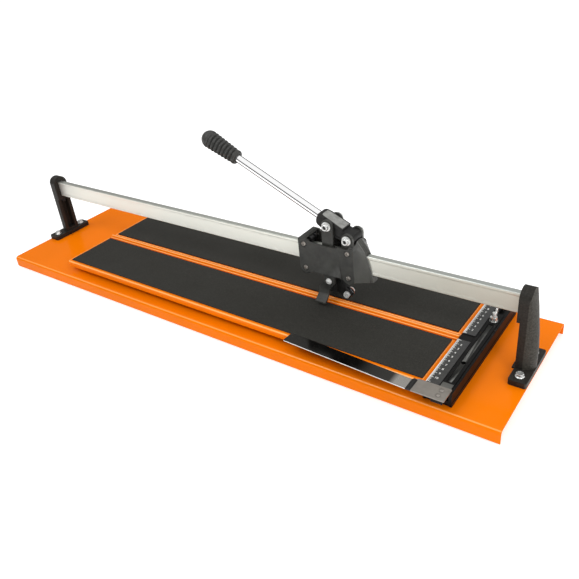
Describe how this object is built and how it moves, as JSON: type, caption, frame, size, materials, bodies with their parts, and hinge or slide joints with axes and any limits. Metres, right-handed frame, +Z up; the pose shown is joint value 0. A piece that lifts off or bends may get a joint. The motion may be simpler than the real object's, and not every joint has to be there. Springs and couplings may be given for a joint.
{
  "type": "manual tile cutter",
  "caption": "Manual tile cutter: folded base, sprung padded tables, high guide rail, rolling carriage with lever, scoring wheel and breaker foot, and a measuring fence with a stop.",
  "frame": {"origin": "middle of the machine's footprint, on the plane that its rubber feet stand on", "axes": "+X along the guide rail towards the measuring fence, +Y away from the person who uses it, +Z up"},
  "size_m": [1, 0.27, 0.2957],
  "materials": {
    "orange_paint": "glossy orange paint on sheet steel",
    "pad_rubber": "dark grey fine-grained rubber foam",
    "foot_rubber": "black moulded rubber",
    "grip_rubber": "dark grey matte rubber",
    "black_paint": "black satin paint with a slight grain",
    "black_anodised": "black anodised",
    "rail_metal": "bright drawn steel, satin",
    "ruler_metal": "dark grey anodised with white marks",
    "bright_steel": "zinc-plated or ground steel",
    "chrome": "polished",
    "carbide": "ground hard metal"
  },
  "bodies": {
    "base": {"base_plate": "orange_paint", "breaking_ridge": "orange_paint", "rubber_foot_1": "foot_rubber", "rubber_foot_2": "foot_rubber", "rubber_foot_3": "foot_rubber", "rubber_foot_4": "foot_rubber", "table_spring_1": "bright_steel", "table_spring_2": "bright_steel", "table_spring_3": "bright_steel", "table_spring_4": "bright_steel", "left_support": "black_paint", "right_support": "black_paint", "support_bolt_1": "bright_steel", "support_bolt_2": "bright_steel", "support_bolt_3": "bright_steel", "support_bolt_4": "bright_steel", "guide_rail": "rail_metal", "rail_screw_left": "bright_steel", "rail_screw_right": "bright_steel", "fence_profile": "black_anodised", "fence_screw_1": "bright_steel", "fence_screw_2": "bright_steel", "fence_set_screw": "bright_steel", "front_ruler": "ruler_metal", "rear_ruler": "ruler_metal"},
    "front_bed": {"front_table": "orange_paint", "front_pad": "pad_rubber"},
    "rear_bed": {"rear_table": "orange_paint", "rear_pad": "pad_rubber"},
    "stop": {"slide_bar": "bright_steel", "stop_arm": "bright_steel", "stop_rivet_1": "bright_steel", "stop_rivet_2": "bright_steel", "clamp_bolt": "bright_steel"},
    "clamp": {"wing_nut": "chrome"},
    "carriage": {"front_cover": "black_paint", "rear_cover": "black_paint", "cover_screw_1": "bright_steel", "cover_screw_2": "bright_steel", "cover_screw_3": "bright_steel", "cover_screw_4": "bright_steel", "pivot_bolt": "chrome", "pivot_nut": "bright_steel"},
    "roller_body_1": {"roller_1": "bright_steel"},
    "roller_body_2": {"roller_2": "bright_steel"},
    "roller_body_3": {"roller_3": "bright_steel"},
    "roller_body_4": {"roller_4": "bright_steel"},
    "lever": {"lever_head": "black_paint", "lever_rod": "chrome", "grip": "grip_rubber", "link_bolt": "chrome", "link_nut": "bright_steel"},
    "links": {"front_link": "black_paint", "rear_link": "black_paint"},
    "ram_body": {"ram": "black_paint", "foot_bolt": "chrome", "wheel_axle": "chrome", "axle_nut": "chrome"},
    "foot": {"breaker_foot": "black_paint"},
    "wheel": {"scoring_wheel": "carbide"}
  },
  "joints": [
    {"name": "front_bed_sink", "type": "slide", "parent": "base", "child": "front_bed", "axis": [0, 0, 1], "range_m": [-0.004, 0], "stiffness_N_per_m": 6000, "springref_m": 0.004, "deforming": ["table_spring_1", "table_spring_2"]},
    {"name": "rear_bed_sink", "type": "slide", "parent": "base", "child": "rear_bed", "axis": [0, 0, 1], "range_m": [-0.004, 0], "stiffness_N_per_m": 6000, "springref_m": 0.004, "deforming": ["table_spring_3", "table_spring_4"]},
    {"name": "stop_slide", "type": "slide", "parent": "base", "child": "stop", "axis": [0, 1, 0], "range_m": [-0.05, 0.042]},
    {"name": "wing_nut_turn", "type": "hinge", "parent": "stop", "child": "clamp", "pos_m": [0.42, 0.059, 0.05], "axis": [0, 0, 1], "continuous": true},
    {"name": "carriage_slide", "type": "slide", "parent": "base", "child": "carriage", "axis": [1, 0, 0], "range_m": [-0.595, 0.17]},
    {"name": "lever_pivot", "type": "hinge", "parent": "carriage", "child": "lever", "pos_m": [0.223, 0.005, 0.1655], "axis": [0, 1, 0], "range_deg": [-8, 28]},
    {"name": "link_swing", "type": "hinge", "parent": "lever", "child": "links", "pos_m": [0.18947, 0.005, 0.18114], "axis": [0, 1, 0], "range_deg": [-21.8, 6.4]},
    {"name": "ram_slide", "type": "slide", "parent": "carriage", "child": "ram_body", "axis": [0, 0, 1], "range_m": [-0.0045, 0.0156]},
    {"name": "foot_swing", "type": "hinge", "parent": "ram_body", "child": "foot", "pos_m": [0.187, 0.005, 0.0875], "axis": [0, 1, 0], "range_deg": [0, 30]},
    {"name": "wheel_turn", "type": "hinge", "parent": "ram_body", "child": "wheel", "pos_m": [0.212, 0.005, 0.0655], "axis": [0, 1, 0], "continuous": true},
    {"name": "roller_turn_1", "type": "hinge", "parent": "carriage", "child": "roller_body_1", "pos_m": [0.1485, 0.005, 0.1045], "axis": [0, 1, 0], "continuous": true},
    {"name": "roller_turn_2", "type": "hinge", "parent": "carriage", "child": "roller_body_2", "pos_m": [0.1485, 0.005, 0.1455], "axis": [0, 1, 0], "continuous": true},
    {"name": "roller_turn_3", "type": "hinge", "parent": "carriage", "child": "roller_body_3", "pos_m": [0.2245, 0.005, 0.1045], "axis": [0, 1, 0], "continuous": true},
    {"name": "roller_turn_4", "type": "hinge", "parent": "carriage", "child": "roller_body_4", "pos_m": [0.2245, 0.005, 0.1455], "axis": [0, 1, 0], "continuous": true}
  ],
  "couplings": [
    {"joint": "link_swing", "follows": "lever_pivot", "ratio": -0.77},
    {"joint": "ram_slide", "follows": "lever_pivot", "m_per_rad": 0.0316},
    {"joint": "roller_turn_1", "follows": "carriage_slide", "rad_per_m": -192.31},
    {"joint": "roller_turn_2", "follows": "carriage_slide", "rad_per_m": 192.31},
    {"joint": "roller_turn_3", "follows": "carriage_slide", "rad_per_m": -192.31},
    {"joint": "roller_turn_4", "follows": "carriage_slide", "rad_per_m": 192.31}
  ]
}
